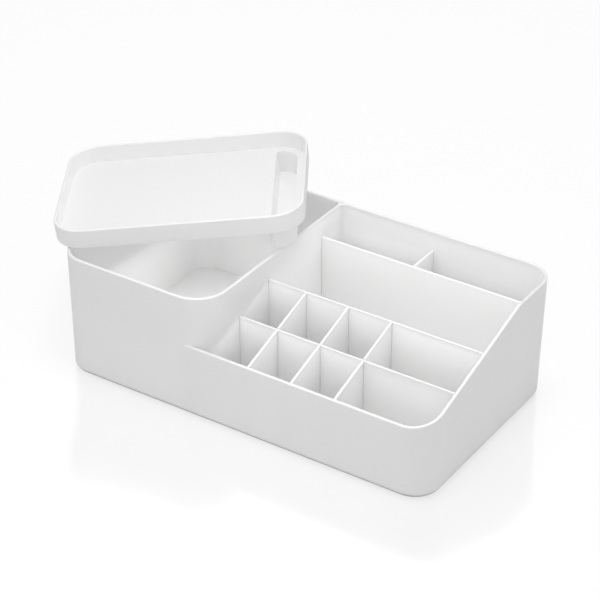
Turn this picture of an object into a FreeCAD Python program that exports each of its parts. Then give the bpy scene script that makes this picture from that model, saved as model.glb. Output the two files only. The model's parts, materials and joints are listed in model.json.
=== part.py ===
"""Makeup organizer: a stepped moulded box with a tall open tower, a sloping block of
compartments and a loose tray lid that lies askew on the tower.

All sizes are in millimetres. The origin is the middle of the base on the table, +X runs to
the right, +Y to the back and +Z up. Outer sizes are measured at the rim, because every
outer wall leans inwards towards the base.
"""
import FreeCAD, Part
import math
import os
from FreeCAD import Placement, Rotation, Vector

# Outer box
width = 300.0
depth = 172.0
height = 93.0
front_height = 55.0
level_rim_depth = 54.0
wall = 2.4
floor = 2.4
outer_draft_deg = 1.0
corner_radius = 21.0
base_edge_radius = 3.5
rim_radius = 0.9
rim_bevel = 0.5

# Tower, the tall compartment on the left
tower_width = 127.5
tower_corner_radius = 24.0
partition_draft_deg = 0.5
inner_corner_radius = 4.0

# Dividers of the sloping block
divider_top_thickness = 1.5
divider_draft_deg = 0.5
divider_rim_radius = 0.6
drop_below_slope = 2.3
front_row_depth = 39.6
middle_row_depth = 35.7
rear_row_depth = 29.2
rear_divider_drop = 14.5
first_cell_width = 30.8
cell_pitch = 34.15
cross_divider_count = 3
rear_right_cell_width = 97.0

# Tray lid
lid_end_overhang = 1.6
lid_side_inset = 0.6
lid_depth = 14.3
lid_wall = 1.8
lid_corner_radius = 22.4
lid_draft_deg = 1.0
lid_base_radius = 1.2
lid_rim_radius = 0.8
lid_rim_bevel = 0.4

# Trough at one end of the lid
trough_inset = 6.7
trough_width = 19.4
trough_depth = 16.5
trough_draft_deg = 3.0
trough_inner_corner_radius = 4.0
trough_end_flat = 0.3
trough_base_radius = 2.2

# Where the lid lies: turned and pushed off the middle of the tower, resting on three rims
lid_turn_deg = 31.2
lid_shift_x = -25.25
lid_shift_y = 14.8
seat_gap = 0.25

# Search for the lid's resting place, and the margins of the modelling itself
rim_samples = 400
seat_steps = 12
seat_nudge = 0.01
edge_samples = 5
largest_round_share = 0.45
beyond = 20.0
tolerance = 1e-4

# Values worked out from the sizes above
left, right = -width / 2, width / 2
front, back = -depth / 2, depth / 2
outer_lean = math.tan(math.radians(outer_draft_deg))
partition_lean = math.tan(math.radians(partition_draft_deg))
divider_lean = math.tan(math.radians(divider_draft_deg))
partition_right = left + tower_width
slope = (height - front_height) / (depth - level_rim_depth)
lid_length = depth + 2 * lid_end_overhang
lid_width = tower_width - 2 * lid_side_inset
lid_lean = math.tan(math.radians(lid_draft_deg))
trough_lean = math.tan(math.radians(trough_draft_deg))


def rounded_wire(corners, z):
    """A closed flat wire through (x, y, radius) corners, inward or outward, at height z."""
    count = len(corners)
    tangents = []
    for index, (x, y, radius) in enumerate(corners):
        here = Vector(x, y, z)
        before = Vector(*corners[index - 1][:2], z) - here
        after = Vector(*corners[(index + 1) % count][:2], z) - here
        before.normalize()
        after.normalize()
        half_angle = before.getAngle(after) / 2
        reach = radius / math.tan(half_angle)
        middle = here
        if radius:
            bisector = (before + after).normalize()
            middle = here + bisector * (radius / math.sin(half_angle) - radius)
        tangents.append((here + before * reach, middle, here + after * reach, radius))
    edges = []
    for index, (start, middle, end, radius) in enumerate(tangents):
        if radius:
            edges.append(Part.Arc(start, middle, end).toShape())
        edges.append(Part.makeLine(end, tangents[(index + 1) % count][0]))
    return Part.Wire(edges)


def tapered_prism(bottom_corners, bottom_z, top_corners, top_z):
    """A solid between two outlines that have the same corners at different sizes."""
    wires = [rounded_wire(bottom_corners, bottom_z), rounded_wire(top_corners, top_z)]
    return Part.makeLoft(wires, True, True)


def box_corners(x0, x1, y0, y1, radii):
    """Corners of a rectangle, front left first and then round to the right."""
    places = [(x0, y0), (x1, y0), (x1, y1), (x0, y1)]
    return [(x, y, radius) for (x, y), radius in zip(places, radii)]


def edges_at_height(shape, z):
    """The edges of a shape that lie wholly at one height."""
    return [
        edge for edge in shape.Edges
        if abs(edge.BoundBox.ZMin - z) < tolerance and abs(edge.BoundBox.ZMax - z) < tolerance
    ]


def slope_height(y):
    """Height of the side rim at a place from front to back."""
    return min(height, front_height + slope * (y - front))


def body_outline(inset, z):
    """Outline of the whole box at height z, moved in by a wall thickness or by nothing."""
    move = inset + outer_lean * (height - z)
    radius = corner_radius - move
    return box_corners(left + move, right - move, front + move, back - move, [radius] * 4)


def below_slope(drop):
    """Everything under the sloping rim line, lowered by a drop, over the full width."""
    step = back - level_rim_depth
    points = [
        Vector(left - beyond, front - beyond, -beyond),
        Vector(left - beyond, front - beyond, front_height - drop - slope * beyond),
        Vector(left - beyond, step, height - drop),
        Vector(left - beyond, back + beyond, height - drop),
        Vector(left - beyond, back + beyond, -beyond),
    ]
    face = Part.Face(Part.makePolygon(points + points[:1]))
    return face.extrude(Vector(width + 2 * beyond, 0, 0))


def make_outer():
    """The full-height outer block with leaning walls and a rounded base edge."""
    block = tapered_prism(body_outline(0, 0), 0, body_outline(0, height), height)
    return block.makeFillet(base_edge_radius, edges_at_height(block, 0))


def make_interior():
    """All the space inside the outer walls, from the floor to above the rim."""
    top = height + beyond
    return tapered_prism(body_outline(wall, floor), floor, body_outline(wall, top), top)


def layer(x, low, high):
    """Everything to the right of x between two heights."""
    origin = Vector(x, front - beyond, low)
    return Part.makeBox(right + beyond - x, depth + 2 * beyond, high - low, origin)


def tower_outline(z):
    """Outline that bounds the tower on its right, with the flare into the back wall."""
    lean = outer_lean * (height - z)
    face_x = partition_right + partition_lean * (height - z)
    flare_end = partition_right + partition_lean * height + 2 * inner_corner_radius
    back_face = back - wall - lean
    return [
        (left - beyond, front + lean, 0),
        (face_x, front + lean, tower_corner_radius),
        (face_x, back_face, inner_corner_radius),
        (flare_end, back_face, 0),
        (flare_end, back + beyond, 0),
        (left - beyond, back + beyond, 0),
    ]


def tower_space_outline(inset, z):
    """Outline of the space inside the tower at height z, with its walls' thickness as inset."""
    move = inset + outer_lean * (height - z)
    face_x = partition_right - inset - partition_lean * (height - z)
    radius = corner_radius - move
    radii = [radius, tower_corner_radius - inset, inner_corner_radius + wall - inset, radius]
    return box_corners(left + move, face_x, front + move, back - move, radii)


def make_tower_cavity():
    """The space inside the tower, narrower towards its floor, with a bevelled mouth."""
    top = height + beyond
    bottom_outline = tower_space_outline(wall, floor)
    space = tapered_prism(bottom_outline, floor, tower_space_outline(wall, top), top)
    bevel = min(rim_bevel, largest_round_share * wall)
    low, high = height - bevel, height + bevel
    wide_outline = tower_space_outline(wall - 2 * bevel, high)
    return space.fuse(tapered_prism(tower_space_outline(wall, low), low, wide_outline, high))


def round_rim(shape, radius, thickness, edges):
    """Round rim edges, by no more than the thickness of the wall allows."""
    return shape.makeFillet(min(radius, largest_round_share * thickness), edges)


def make_shell():
    """Outer walls, floor and tower in one moulding, and the free space right of the tower."""
    outer = make_outer()
    interior = make_interior()
    cavity = make_tower_cavity()
    top = height + beyond
    tall_block = tapered_prism(tower_outline(-beyond), -beyond, tower_outline(top), top)
    free_space = interior.cut(tall_block)
    step_height = front_height / 2
    lower = outer.cut(cavity).cut(free_space).common(layer(left - beyond, -beyond, step_height))

    tower_block = tapered_prism(tower_outline(-beyond), -beyond, tower_outline(height), height)
    tower = outer.common(tower_block)
    tower = round_rim(tower, rim_radius, wall, edges_at_height(tower, height)).cut(cavity)
    tower = tower.common(layer(left - beyond, step_height, top))

    start_x = partition_right - tower_corner_radius - 2 * wall
    tray = outer.common(below_slope(0)).cut(interior).common(layer(start_x, step_height, top))
    rim_edges = [edge for edge in tray.Edges if is_rim_edge(edge, start_x)]
    tray = round_rim(tray, rim_radius, wall, rim_edges)
    return lower.fuse([tower, tray]).removeSplitter(), free_space


def is_rim_edge(edge, start_x):
    """True for an edge that follows the sloping or level rim, and not the cut at its start."""
    points = edge.discretize(edge_samples)
    on_rim = all(abs(point.z - slope_height(point.y)) < tolerance for point in points)
    along_wall = any(point.x > start_x + tolerance for point in points)
    across_wall = abs(points[0].y - points[-1].y) < tolerance and edge.Length < 2 * wall
    return on_rim and along_wall and not across_wall


def long_plate(y, top):
    """A divider that runs from left to right, thicker towards the floor."""
    half = divider_top_thickness / 2
    half_base = half + divider_lean * top
    points = [
        Vector(left, y - half_base, 0), Vector(left, y + half_base, 0),
        Vector(left, y + half, top), Vector(left, y - half, top),
    ]
    return Part.Face(Part.makePolygon(points + points[:1])).extrude(Vector(width, 0, 0))


def cross_plate(x, y0, y1, top):
    """A divider that runs from front to back, thicker towards the floor."""
    half = divider_top_thickness / 2
    half_base = half + divider_lean * top
    points = [
        Vector(x - half_base, y0, 0), Vector(x + half_base, y0, 0),
        Vector(x + half, y0, top), Vector(x - half, y0, top),
    ]
    return Part.Face(Part.makePolygon(points + points[:1])).extrude(Vector(0, y1 - y0, 0))


def round_divider(plate, top_height):
    """Round the two long top edges of a divider whose top height is a function of y."""
    edges = []
    for edge in plate.Edges:
        points = edge.discretize(edge_samples)
        on_top = all(abs(point.z - top_height(point.y)) < tolerance for point in points)
        if on_top and edge.Length > 3 * divider_top_thickness:
            edges.append(edge)
    return round_rim(plate, divider_rim_radius, divider_top_thickness, edges)


def make_dividers(free_space):
    """Every divider by name, each ending face to face with the walls round it."""
    front_y = front + front_row_depth
    middle_y = front_y + middle_row_depth
    rear_y = back - rear_row_depth
    front_top = slope_height(front_y) - drop_below_slope
    middle_top = slope_height(middle_y) - drop_below_slope
    rear_top = height - rear_divider_drop
    long_plates = {
        "front_divider": (long_plate(front_y, front_top), front_top),
        "middle_divider": (long_plate(middle_y, middle_top), middle_top),
        "rear_divider": (long_plate(rear_y, rear_top), rear_top),
    }
    dividers = {}
    for name, (plate, top) in long_plates.items():
        inside = plate.common(free_space)
        dividers[name] = round_divider(inside, lambda y, top=top: top)

    front_plate = long_plate(front_y, height)
    middle_plate = long_plate(middle_y, height)
    lowered = below_slope(drop_below_slope)
    rows = {"front": (front, front_y), "middle": (front_y, middle_y)}
    for row, (y0, y1) in rows.items():
        for index in range(cross_divider_count):
            x = partition_right + first_cell_width + index * cell_pitch
            plate = cross_plate(x, y0, y1, middle_top).common(lowered).common(free_space)
            plate = plate.cut(front_plate).cut(middle_plate)
            name = "{}_cross_divider_{}".format(row, index + 1)
            dividers[name] = round_divider(plate, lambda y: slope_height(y) - drop_below_slope)

    rear_x = right - rear_right_cell_width
    plate = cross_plate(rear_x, rear_y, back, rear_top).common(free_space)
    plate = plate.cut(long_plate(rear_y, height))
    dividers["rear_cross_divider"] = round_divider(plate, lambda y: rear_top)
    return dividers


def lid_outline(inset, z):
    """Outline of the lid at a height above its underside, in the lid's own axes."""
    move = inset + lid_lean * (lid_depth - z)
    half_x = lid_length / 2 - move
    half_y = lid_width / 2 - move
    return box_corners(-half_x, half_x, -half_y, half_y, [lid_corner_radius - move] * 4)


def trough_sizes(inset, z):
    """Inner and outer end, half length and both corner radii of the trough at a height."""
    move = inset + trough_lean * (lid_wall - z)
    x1 = lid_length / 2 - trough_inset - move
    x0 = lid_length / 2 - trough_inset - trough_width + move
    half_y = lid_width / 2 - trough_inset - move
    widest = trough_width - trough_inner_corner_radius - trough_end_flat
    outer = min(lid_corner_radius - trough_inset, widest)
    return x0, x1, half_y, trough_inner_corner_radius - move, outer - move


def trough_outline(inset, z):
    """Outline of the trough at a height above the lid's underside, in the lid's own axes."""
    x0, x1, half_y, inner, outer = trough_sizes(inset, z)
    return box_corners(x0, x1, -half_y, half_y, [inner, outer, outer, inner])


def make_lid():
    """The tray lid with its deep trough, open side up, in its own axes."""
    tray = tapered_prism(lid_outline(0, 0), 0, lid_outline(0, lid_depth), lid_depth)
    tray = tray.makeFillet(lid_base_radius, edges_at_height(tray, 0))
    tray = round_rim(tray, lid_rim_radius, lid_wall, edges_at_height(tray, lid_depth))
    top = lid_depth + beyond
    hollow = tapered_prism(lid_outline(lid_wall, lid_wall), lid_wall, lid_outline(lid_wall, top), top)
    bevel = min(lid_rim_bevel, largest_round_share * lid_wall)
    low, high = lid_depth - bevel, lid_depth + bevel
    wide_outline = lid_outline(lid_wall - 2 * bevel, high)
    mouth = tapered_prism(lid_outline(lid_wall, low), low, wide_outline, high)
    tray = tray.cut(hollow).cut(mouth)

    bottom = -trough_depth
    well = tapered_prism(trough_outline(0, bottom), bottom, trough_outline(0, lid_wall), lid_wall)
    well = well.makeFillet(trough_base_radius, edges_at_height(well, bottom))
    space_bottom = bottom + lid_wall
    space_top = 2 * lid_wall
    space = tapered_prism(
        trough_outline(lid_wall, space_bottom), space_bottom,
        trough_outline(lid_wall, space_top), space_top)
    return tray.fuse(well).cut(space).removeSplitter()


def trough_reach(u, v):
    """Distance inside the trough's flat bottom outline, negative outside it."""
    x0, x1, half_y, inner, outer = trough_sizes(0, -trough_depth)
    reach = min(x1 - u, u - x0, half_y - abs(v))
    for du, radius in ((u - x1 + outer, outer), (x0 + inner - u, inner)):
        dv = abs(v) - half_y + radius
        if du > 0 and dv > 0:
            reach = min(reach, radius - math.hypot(du, dv))
    return reach


def lid_underside(u, v):
    """Height of the lid's lowest surface at a place in its own axes, or None beyond it."""
    if abs(u) > lid_length / 2 - lid_base_radius or abs(v) > lid_width / 2 - lid_base_radius:
        return None
    reach = trough_reach(u, v)
    if reach > trough_base_radius:
        return -trough_depth
    if reach > 0:
        across = trough_base_radius - reach
        return -trough_depth + trough_base_radius - math.sqrt(trough_base_radius ** 2 - across ** 2)
    return min(0, -trough_depth + trough_base_radius - reach / trough_lean)


def rim_supports():
    """Points on the three rims that carry the lid: partition, back wall and left front."""
    inset = wall / 2
    middle_radius = corner_radius - inset
    parts = [index / rim_samples for index in range(rim_samples + 1)]
    partition_x = partition_right - inset
    front_span = depth - tower_corner_radius - inset
    partition = [(partition_x, back - inset - part * front_span) for part in parts]
    rear_span = width - 2 * corner_radius
    rear = [(left + corner_radius + part * rear_span, back - inset) for part in parts]
    side_span = depth - 2 * corner_radius
    side = [(left + inset, back - corner_radius - part * side_span) for part in parts]
    rim_span = tower_width - corner_radius - tower_corner_radius
    front_rim = [(left + corner_radius + part * rim_span, front + inset) for part in parts]
    turn = [math.pi + part * math.pi / 2 for part in parts]
    corner = [
        (left + corner_radius + middle_radius * math.cos(angle),
         front + corner_radius + middle_radius * math.sin(angle))
        for angle in turn]
    return [partition, rear, side + front_rim + corner]


def lid_placement(lift, tilt_x, tilt_y):
    """Placement of the lid at a height above the rim, turned and then tilted."""
    turn = Rotation(Vector(0, 0, 1), lid_turn_deg)
    tilt = Rotation(Vector(0, 1, 0), tilt_y).multiply(Rotation(Vector(1, 0, 0), tilt_x))
    centre = Vector(left + tower_width / 2 + lid_shift_x, lid_shift_y, height + lift)
    return Placement(centre, tilt.multiply(turn))


def support_gaps(placement, supports):
    """Least height of the lid's underside above each of the three rims."""
    inverse = placement.inverse()
    gaps = []
    for points in supports:
        gap = math.inf
        for x, y in points:
            place = inverse.multVec(Vector(x, y, height))
            underside = lid_underside(place.x, place.y)
            if underside is not None:
                gap = min(gap, underside - place.z)
        gaps.append(gap)
    return gaps


def rest_lid():
    """Drop the lid until it rests on all three rims, by Newton steps on its height and tilts."""
    supports = rim_supports()
    tilt = math.degrees(trough_depth / lid_length)
    pose = [trough_depth / 2, tilt / 2, -tilt]
    for _ in range(seat_steps):
        gaps = support_gaps(lid_placement(*pose), supports)
        columns = []
        for index in range(3):
            moved = list(pose)
            moved[index] += seat_nudge
            nearby = support_gaps(lid_placement(*moved), supports)
            columns.append([(after - before) / seat_nudge for after, before in zip(nearby, gaps)])
        matrix = FreeCAD.Matrix(
            columns[0][0], columns[1][0], columns[2][0], 0,
            columns[0][1], columns[1][1], columns[2][1], 0,
            columns[0][2], columns[1][2], columns[2][2], 0,
            0, 0, 0, 1)
        wanted = Vector(*[seat_gap - gap for gap in gaps])
        change = matrix.inverse().multVec(wanted)
        pose = [value + delta for value, delta in zip(pose, change)]
    return lid_placement(*pose)


def build():
    """Make every node of the organizer and write one STEP file for each."""
    shell, free_space = make_shell()
    nodes = {"body_shell": shell}
    nodes.update(make_dividers(free_space))
    lid = make_lid()
    lid.Placement = rest_lid()
    nodes["lid_tray"] = lid

    os.makedirs("parts", exist_ok=True)
    for name, shape in nodes.items():
        shape.exportStep("parts/{}.step".format(name))
        print("{}: {} solid, valid {}, {:.1f} cm3".format(
            name, len(shape.Solids), shape.isValid(), shape.Volume / 1000))
    print("lid rests at", lid.Placement)


build()
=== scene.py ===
"""A white moulded makeup organizer on a pale glossy floor, lit as in a light tent."""
import json
import logging
import math
from dataclasses import dataclass, field
from enum import Enum

import bpy
from mathutils import Matrix, Vector


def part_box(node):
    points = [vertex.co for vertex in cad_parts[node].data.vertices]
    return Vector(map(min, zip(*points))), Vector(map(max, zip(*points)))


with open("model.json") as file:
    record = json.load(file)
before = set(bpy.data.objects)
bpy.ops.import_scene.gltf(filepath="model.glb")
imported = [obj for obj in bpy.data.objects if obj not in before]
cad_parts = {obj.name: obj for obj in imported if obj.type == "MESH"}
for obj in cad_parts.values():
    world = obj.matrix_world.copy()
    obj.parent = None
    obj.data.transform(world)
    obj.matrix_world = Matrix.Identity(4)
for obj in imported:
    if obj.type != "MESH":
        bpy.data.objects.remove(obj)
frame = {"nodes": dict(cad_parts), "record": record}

log = logging.getLogger("organizer")


class Body(Enum):
    """The two bodies that move apart."""

    BOX = "organizer"
    LID = "lid"


@dataclass(frozen=True)
class MouldedPlastic:
    """Glossy white plastic as it comes out of a polished mould.

    Attributes:
        name: name of the material.
        colour: grey level of the plastic, as a linear value for each channel.
        roughness: mean roughness of the surface.
        roughness_spread: how far the roughness wanders from its mean.
        shade_spread: how far the colour wanders, as a share of it.
        wave_length: distance between the slow waves of the surface, in metres.
        wave_height: height of those waves, in metres.
        grain_length: size of the fine grain, in metres.
        grain_height: height of the fine grain, in metres.
        refraction: index of refraction, which sets how strong the gloss is.
        translucence: share of the light that enters the plastic and scatters inside it.
        scatter_length: how far that light gets on average, in metres.
    """

    name: str
    colour: tuple[float, float, float]
    roughness: float = 0.28
    roughness_spread: float = 0.02
    shade_spread: float = 0.004
    wave_length: float = 0.035
    wave_height: float = 0.00002
    grain_length: float = 0.0009
    grain_height: float = 0.000004
    refraction: float = 1.49
    translucence: float = 0.6
    scatter_length: float = 0.0015

    def build(self) -> bpy.types.Material:
        """Make the node material.

        Returns:
            The finished material.
        """
        material = bpy.data.materials.new(self.name)
        material.use_nodes = True
        nodes = material.node_tree.nodes
        links = material.node_tree.links
        shader = nodes["Principled BSDF"]
        shader.inputs["IOR"].default_value = self.refraction
        shader.inputs["Subsurface Weight"].default_value = self.translucence
        shader.inputs["Subsurface Scale"].default_value = self.scatter_length
        shader.inputs["Subsurface Radius"].default_value = (1.0, 1.0, 1.0)
        place = nodes.new("ShaderNodeTexCoord").outputs["Object"]

        waves = self._noise(nodes, links, place, self.wave_length, detail=2.0)
        grain = self._noise(nodes, links, place, self.grain_length, detail=4.0)

        shade = nodes.new("ShaderNodeMapRange")
        shade.inputs["To Min"].default_value = 1.0 - self.shade_spread
        shade.inputs["To Max"].default_value = 1.0
        links.new(grain, shade.inputs["Value"])
        tint = nodes.new("ShaderNodeVectorMath")
        tint.operation = "SCALE"
        tint.inputs[0].default_value = self.colour
        links.new(shade.outputs["Result"], tint.inputs["Scale"])
        links.new(tint.outputs["Vector"], shader.inputs["Base Color"])

        rough = nodes.new("ShaderNodeMapRange")
        rough.inputs["To Min"].default_value = self.roughness - self.roughness_spread
        rough.inputs["To Max"].default_value = self.roughness + self.roughness_spread
        links.new(grain, rough.inputs["Value"])
        links.new(rough.outputs["Result"], shader.inputs["Roughness"])

        slow_bump = self._bump(nodes, links, waves, self.wave_height)
        fine_bump = self._bump(nodes, links, grain, self.grain_height)
        links.new(slow_bump.outputs["Normal"], fine_bump.inputs["Normal"])
        links.new(fine_bump.outputs["Normal"], shader.inputs["Normal"])
        return material

    @staticmethod
    def _noise(
        nodes: bpy.types.Nodes,
        links: bpy.types.NodeLinks,
        place: bpy.types.NodeSocket,
        length: float,
        detail: float,
    ) -> bpy.types.NodeSocket:
        """Add a noise of one length.

        Args:
            nodes: the material's nodes.
            links: the material's links.
            place: socket that gives the point on the surface.
            length: size of the noise, in metres.
            detail: how many finer layers the noise has.

        Returns:
            The socket with the noise, from 0 to 1.
        """
        noise = nodes.new("ShaderNodeTexNoise")
        noise.inputs["Scale"].default_value = 1.0 / length
        noise.inputs["Detail"].default_value = detail
        links.new(place, noise.inputs["Vector"])
        return noise.outputs["Fac"]

    @staticmethod
    def _bump(
        nodes: bpy.types.Nodes,
        links: bpy.types.NodeLinks,
        height: bpy.types.NodeSocket,
        distance: float,
    ) -> bpy.types.Node:
        """Add a bump of a real height.

        Args:
            nodes: the material's nodes.
            links: the material's links.
            height: socket with the height, from 0 to 1.
            distance: what a height of 1 stands for, in metres.

        Returns:
            The bump node.
        """
        bump = nodes.new("ShaderNodeBump")
        bump.inputs["Distance"].default_value = distance
        links.new(height, bump.inputs["Height"])
        return bump


@dataclass(frozen=True)
class StudioFloor:
    """Pale floor that looks white to the camera, with a faint mirror image, a soft shadow and a painted
    contact shade where its glow is dimmed next to the object.

    Attributes:
        size: side of the square floor, in metres.
        colour: grey level that the floor bounces back on the object.
        mirror: share of the floor's look that is its mirror image.
        mirror_roughness: how blurred the mirror image is.
        glow: light that the camera sees on top of the lit floor, which makes it white.
        shade: grey level that takes part in the shadow which the camera sees.
        painted_shade_reach: how near to the object the floor's glow is cut off by ambient occlusion, which
            paints a contact shade on the floor, in metres.
    """

    size: float = 12.0
    colour: float = 0.8
    mirror: float = 0.3
    mirror_roughness: float = 0.12
    glow: float = 0.735
    shade: float = 0.4
    painted_shade_reach: float = 0.0007

    def build(self) -> bpy.types.Object:
        """Lay the floor at the height of the object's base.

        Returns:
            The floor.
        """
        half = self.size / 2
        mesh = bpy.data.meshes.new("studio_floor")
        corners = [(-half, -half, 0.0), (half, -half, 0.0), (half, half, 0.0), (-half, half, 0.0)]
        mesh.from_pydata(corners, [], [(0, 1, 2, 3)])
        floor = bpy.data.objects.new("studio_floor", mesh)
        bpy.context.scene.collection.objects.link(floor)
        floor.data.materials.append(self._material())
        return floor

    def _material(self) -> bpy.types.Material:
        """Make the floor's material.

        Returns:
            A pale diffuse material that glows and mirrors for camera rays alone.
        """
        material = bpy.data.materials.new("studio_floor")
        material.use_nodes = True
        nodes = material.node_tree.nodes
        links = material.node_tree.links
        nodes.clear()
        output = nodes.new("ShaderNodeOutputMaterial")
        path = nodes.new("ShaderNodeLightPath")
        matt = nodes.new("ShaderNodeBsdfDiffuse")
        matt.inputs["Color"].default_value = (self.colour, self.colour, self.colour, 1.0)
        shaded = nodes.new("ShaderNodeBsdfDiffuse")
        shaded.inputs["Color"].default_value = (self.shade, self.shade, self.shade, 1.0)
        # Ambient occlusion dims the floor's glow next to the object: a painted contact shade.
        painted_contact_shade = nodes.new("ShaderNodeAmbientOcclusion")
        painted_contact_shade.inputs["Distance"].default_value = self.painted_shade_reach
        dim = nodes.new("ShaderNodeMath")
        dim.operation = "MULTIPLY"
        dim.inputs[1].default_value = self.glow
        glow = nodes.new("ShaderNodeEmission")
        lit = nodes.new("ShaderNodeAddShader")
        mirror = nodes.new("ShaderNodeBsdfGlossy")
        mirror.inputs["Roughness"].default_value = self.mirror_roughness
        seen = nodes.new("ShaderNodeMixShader")
        seen.inputs["Fac"].default_value = self.mirror
        choice = nodes.new("ShaderNodeMixShader")
        links.new(painted_contact_shade.outputs["AO"], dim.inputs[0])
        links.new(dim.outputs[0], glow.inputs["Strength"])
        links.new(shaded.outputs[0], lit.inputs[0])
        links.new(glow.outputs[0], lit.inputs[1])
        links.new(lit.outputs[0], seen.inputs[1])
        links.new(mirror.outputs[0], seen.inputs[2])
        links.new(path.outputs["Is Camera Ray"], choice.inputs["Fac"])
        links.new(matt.outputs[0], choice.inputs[1])
        links.new(seen.outputs[0], choice.inputs[2])
        links.new(choice.outputs[0], output.inputs["Surface"])
        return material


@dataclass(frozen=True)
class LightTent:
    """Soft light from all sides, with a softbox overhead.

    Attributes:
        level: strength of the light from the tent's cloth.
        backdrop: strength that the camera and mirror images see, where 1 is white.
        top_size: side of the square softbox overhead, in metres.
        top_height: height of the softbox above the floor, in metres.
        top_power: power of the softbox, in watts.
        card_size: side of the bright card that only the gloss shows, in metres.
        card_place: middle of that card, in metres.
        card_level: brightness of that card, where 1 is white.
    """

    level: float = 0.685
    backdrop: float = 1.0
    top_size: float = 0.3
    top_height: float = 1.5
    top_power: float = 3.3
    card_size: float = 1.6
    card_place: tuple[float, float, float] = (-0.1, 0.25, 1.2)
    card_level: float = 4.5

    def build(self) -> None:
        """Set the world up and hang the softbox and the card."""
        self._world()
        self._lamp("softbox_top", (0.0, 0.0, self.top_height), self.top_size, self.top_power)
        power = math.pi * self.card_size**2 * self.card_level
        card = self._lamp("gloss_card", self.card_place, self.card_size, power)
        card.visible_camera = False
        card.visible_diffuse = False
        card.visible_transmission = False

    @staticmethod
    def _lamp(name: str, place: tuple[float, float, float], size: float, power: float) -> bpy.types.Object:
        """Hang a square lamp that shines straight down.

        Args:
            name: name of the lamp.
            place: middle of its face, in metres.
            size: side of its face, in metres.
            power: power of the lamp, in watts.

        Returns:
            The lamp.
        """
        lamp = bpy.data.lights.new(name, "AREA")
        lamp.size = size
        lamp.energy = power
        holder = bpy.data.objects.new(name, lamp)
        holder.location = place
        bpy.context.scene.collection.objects.link(holder)
        return holder

    def _world(self) -> None:
        """Make a world that lights at one strength and is seen at another."""
        world = bpy.data.worlds.new("light_tent")
        bpy.context.scene.world = world
        world.use_nodes = True
        nodes = world.node_tree.nodes
        links = world.node_tree.links
        light = nodes["Background"]
        light.inputs["Color"].default_value = (1.0, 1.0, 1.0, 1.0)
        light.inputs["Strength"].default_value = self.level
        seen = nodes.new("ShaderNodeBackground")
        seen.inputs["Color"].default_value = (1.0, 1.0, 1.0, 1.0)
        seen.inputs["Strength"].default_value = self.backdrop
        path = nodes.new("ShaderNodeLightPath")
        either = nodes.new("ShaderNodeMath")
        either.operation = "MAXIMUM"
        choice = nodes.new("ShaderNodeMixShader")
        links.new(path.outputs["Is Camera Ray"], either.inputs[0])
        links.new(path.outputs["Is Glossy Ray"], either.inputs[1])
        links.new(either.outputs[0], choice.inputs["Fac"])
        links.new(light.outputs[0], choice.inputs[1])
        links.new(seen.outputs[0], choice.inputs[2])
        links.new(choice.outputs[0], nodes["World Output"].inputs["Surface"])


@dataclass(frozen=True)
class SoftPanel:
    """A flat soft lamp that shines from one side and that neither camera nor gloss shows.

    Attributes:
        name: name of the lamp.
        centre: middle of its face, in metres.
        size: width and depth of its face, in metres.
        level: brightness of its face, where 1 is a white card in full light.
        tilt: turn about the X axis, in radians, where 0 shines straight down.
        turn: turn about the upright axis after that, in radians.
    """

    name: str
    centre: tuple[float, float, float]
    size: tuple[float, float]
    level: float
    tilt: float = 0.0
    turn: float = 0.0

    def build(self) -> None:
        """Hang the lamp."""
        lamp = bpy.data.lights.new(self.name, "AREA")
        lamp.shape = "RECTANGLE"
        lamp.size = self.size[0]
        lamp.size_y = self.size[1]
        lamp.energy = math.pi * self.size[0] * self.size[1] * self.level
        holder = bpy.data.objects.new(self.name, lamp)
        holder.location = self.centre
        holder.rotation_euler = (self.tilt, 0.0, self.turn)
        holder.visible_camera = False
        holder.visible_glossy = False
        bpy.context.scene.collection.objects.link(holder)


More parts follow.
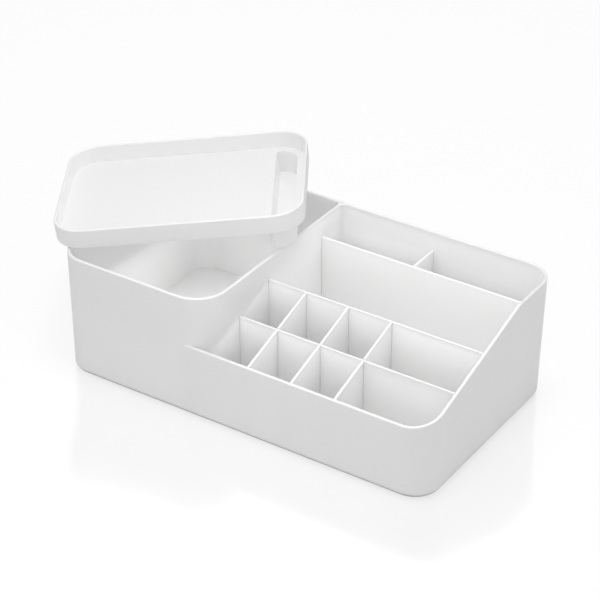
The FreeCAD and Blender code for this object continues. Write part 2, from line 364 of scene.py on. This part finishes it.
@dataclass(frozen=True)
class CompartmentFill:
    """Soft lamps in the mouths of the compartments, which shine into them.

    They stand for the light that keeps bouncing between white walls after the path tracer
    has stopped following it.

    Attributes:
        tower_level: brightness of the lamp in the tower, where 1 is a white card.
        tower_span: start and end of that lamp along X and Y, as shares of the tower.
        tower_height: height of that lamp, as a share of the tower's.
        slope_level: brightness of the lamp over the sloping part of the block.
        rear_level: brightness of the lamp over the level part of the block.
        cell_level: brightness of the lamps in the mouths of the small cells.
        wide_level: brightness of the lamp in the mouth of the wide compartment.
        trough_level: brightness of the lamp in the mouth of the lid's trough.
        trough_mouth: width and length of that lamp, in metres.
        trough_turn: turn of that lamp about the upright axis, in degrees.
        below_rim: how far the lamps over the block lie below the rim, in metres.
    """

    tower_level: float = 0.78
    tower_span: tuple[tuple[float, float], tuple[float, float]] = ((0.05, 0.95), (0.0, 0.9))
    tower_height: float = 0.6
    slope_level: float = 0.1
    rear_level: float = 0.37
    cell_level: float = 0.27
    wide_level: float = 0.1
    trough_level: float = 0.1
    trough_mouth: tuple[float, float] = (0.017, 0.105)
    trough_turn: float = 31.35
    below_rim: float = 0.001

    def build(self) -> None:
        """Hang the lamps of the tower, the block, its cells and the lid's trough."""
        boxes = {
            opening["name"]: [Vector(corner) for corner in opening["box_m"]]
            for opening in frame["record"]["physics"]["openings"]
        }
        self._build_tower(*boxes["tower"])
        self._build_block(boxes)
        self._build_trough(*boxes["lid_trough_2"])

    def _build_trough(self, low: Vector, high: Vector) -> None:
        """Hang the lamp of the lid's trough, which lies askew as the lid does.

        Args:
            low: lowest corner of a box in the middle of the trough.
            high: highest corner of that box.
        """
        middle = (low + high) / 2
        SoftPanel(
            "fill_trough",
            centre=(middle.x, middle.y, high.z),
            size=self.trough_mouth,
            level=self.trough_level,
            turn=math.radians(self.trough_turn),
        ).build()

    def _build_tower(self, low: Vector, high: Vector) -> None:
        """Hang the lamp of the tower, which lies below the mouth because the lid covers it.

        Args:
            low: lowest corner of the tower's space.
            high: highest corner of the tower's space.
        """
        size = high - low
        (left, right), (front, back) = self.tower_span
        lamp_low = low + Vector((left * size.x, front * size.y, 0.0))
        lamp_high = low + Vector((right * size.x, back * size.y, self.tower_height * size.z))
        self._build_panel("tower", lamp_low, lamp_high, self.tower_level)

    @staticmethod
    def _build_panel(name: str, low: Vector, high: Vector, level: float) -> None:
        """Hang a level lamp that fills the top of a box.

        Args:
            name: name of the compartment.
            low: lowest corner of the box.
            high: highest corner of the box.
            level: brightness of the lamp.
        """
        middle = (low + high) / 2
        size = (high.x - low.x, high.y - low.y)
        SoftPanel("fill_" + name, (middle.x, middle.y, high.z), size, level).build()

    def _build_block(self, boxes: dict[str, list[Vector]]) -> None:
        """Hang a sloping and a level lamp over the whole block, and lamps in its cells.

        Args:
            boxes: lowest and highest corner of each compartment by name.
        """
        (front_low, front_high), (rear_low, rear_high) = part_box("front_divider"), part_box("middle_divider")
        front_middle = (front_low.y + front_high.y) / 2
        run = (rear_low.y + rear_high.y) / 2 - front_middle
        slope = (rear_high.z - front_high.z) / run
        for name, (low, high) in boxes.items():
            if name.startswith(("front_cell", "middle_cell")):
                middle = (low + high) / 2
                top = front_high.z + slope * (middle.y - front_middle) - self.below_rim
                size = (high.x - low.x, (high.y - low.y) * math.hypot(1.0, slope))
                centre = (middle.x, middle.y, top)
                SoftPanel("fill_" + name, centre, size, self.cell_level, math.atan(slope)).build()
            elif name.startswith(("rear_left", "rear_right")):
                self._build_panel(name, low, high, self.cell_level)
        self._build_panel("wide_middle", *boxes["wide_middle"], self.wide_level)
        left = boxes["front_cell_1"][0].x
        right = boxes["middle_cell_4"][1].x
        front = boxes["front_cell_1"][0].y
        back = boxes["rear_left_cell"][1].y
        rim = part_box("body_shell")[1].z - self.below_rim
        front_rim = front_high.z + slope * (front - front_middle) + self.below_rim
        step = front + (rim - front_rim) / slope
        middle_x = (left + right) / 2
        width = right - left
        length = math.hypot(step - front, rim - front_rim)
        centre = (middle_x, (front + step) / 2, (front_rim + rim) / 2)
        SoftPanel("fill_slope", centre, (width, length), self.slope_level, math.atan(slope)).build()
        centre = (middle_x, (step + back) / 2, rim)
        SoftPanel("fill_rear", centre, (width, back - step), self.rear_level).build()


@dataclass(frozen=True)
class PhotoCamera:
    """The camera at the photograph's place and angle.

    Attributes:
        place: where the camera stands, in metres.
        azimuth: angle round the object, from straight in front towards the right, in degrees.
        elevation: how far the camera looks down, in degrees.
        roll: turn about the line of sight, in degrees.
        lens: focal length on a 36 mm sensor, in millimetres.
    """

    place: tuple[float, float, float] = (0.6940, -1.0670, 0.8462)
    azimuth: float = 33.19
    elevation: float = 31.64
    roll: float = 0.34
    lens: float = 129.56

    def build(self) -> bpy.types.Object:
        """Make the camera and set it as the scene's.

        Returns:
            The camera.
        """
        data = bpy.data.cameras.new("photo_camera")
        data.lens = self.lens
        data.sensor_width = 36.0
        camera = bpy.data.objects.new("photo_camera", data)
        turn = Matrix.Rotation(math.radians(self.azimuth), 4, "Z")
        tilt = Matrix.Rotation(math.radians(90.0 - self.elevation), 4, "X")
        roll = Matrix.Rotation(math.radians(self.roll), 4, "Z")
        camera.matrix_world = Matrix.Translation(Vector(self.place)) @ turn @ tilt @ roll
        bpy.context.scene.collection.objects.link(camera)
        bpy.context.scene.camera = camera
        return camera


@dataclass
class Moulding:
    """A moulded piece of the organizer whose shape comes from the construction.

    Attributes:
        finish: plastic that it is made of.
        nodes: names of the solids that the moulding consists of.
    """

    finish: MouldedPlastic
    nodes: list[str] = field(default_factory=list)

    def dress(self) -> None:
        """Give every solid of the moulding its plastic."""
        material = self.finish.build()
        for name in self.nodes:
            piece = frame["nodes"][name]
            piece.data.materials.clear()
            piece.data.materials.append(material)
            log.info("%s dressed in %s", name, self.finish.name)


class Organizer:
    """The whole organizer: the box with its dividers, and the tray lid."""

    def __init__(self) -> None:
        """Sort the solids by the body that they belong to."""
        bodies = frame["record"]["behaviour"]["bodies"]
        box_plastic = MouldedPlastic("white_plastic", colour=(0.941, 0.940, 0.938))
        lid_plastic = MouldedPlastic("white_lid_plastic", colour=(0.941, 0.940, 0.938))
        self.box = Moulding(box_plastic, list(bodies[Body.BOX.value]))
        self.lid = Moulding(lid_plastic, list(bodies[Body.LID.value]))

    def dress(self) -> None:
        """Dress both mouldings."""
        self.box.dress()
        self.lid.dress()


SIDE_SOFTBOX = SoftPanel(
    "softbox_side",
    centre=(0.05, -0.13, 0.25),
    size=(0.2, 0.2),
    level=0.58,
    tilt=math.radians(45.0),
    turn=math.radians(45.0),
)


def corners(box: tuple[Vector, Vector]) -> list[list[float]]:
    """Turn a box's two corners into plain lists.

    Args:
        box: lowest and highest corner.

    Returns:
        The same corners as lists of numbers.
    """
    return [[float(value) for value in corner] for corner in box]


def main() -> None:
    """Build the scene in order: stage, light, camera and organizer."""
    logging.basicConfig(level=logging.INFO, format="%(name)s: %(message)s")
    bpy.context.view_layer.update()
    StudioFloor().build()
    LightTent().build()
    SIDE_SOFTBOX.build()
    CompartmentFill().build()
    PhotoCamera().build()
    Organizer().dress()
    bpy.context.scene.view_settings.view_transform = "Standard"


if __name__ == "__main__":
    main()
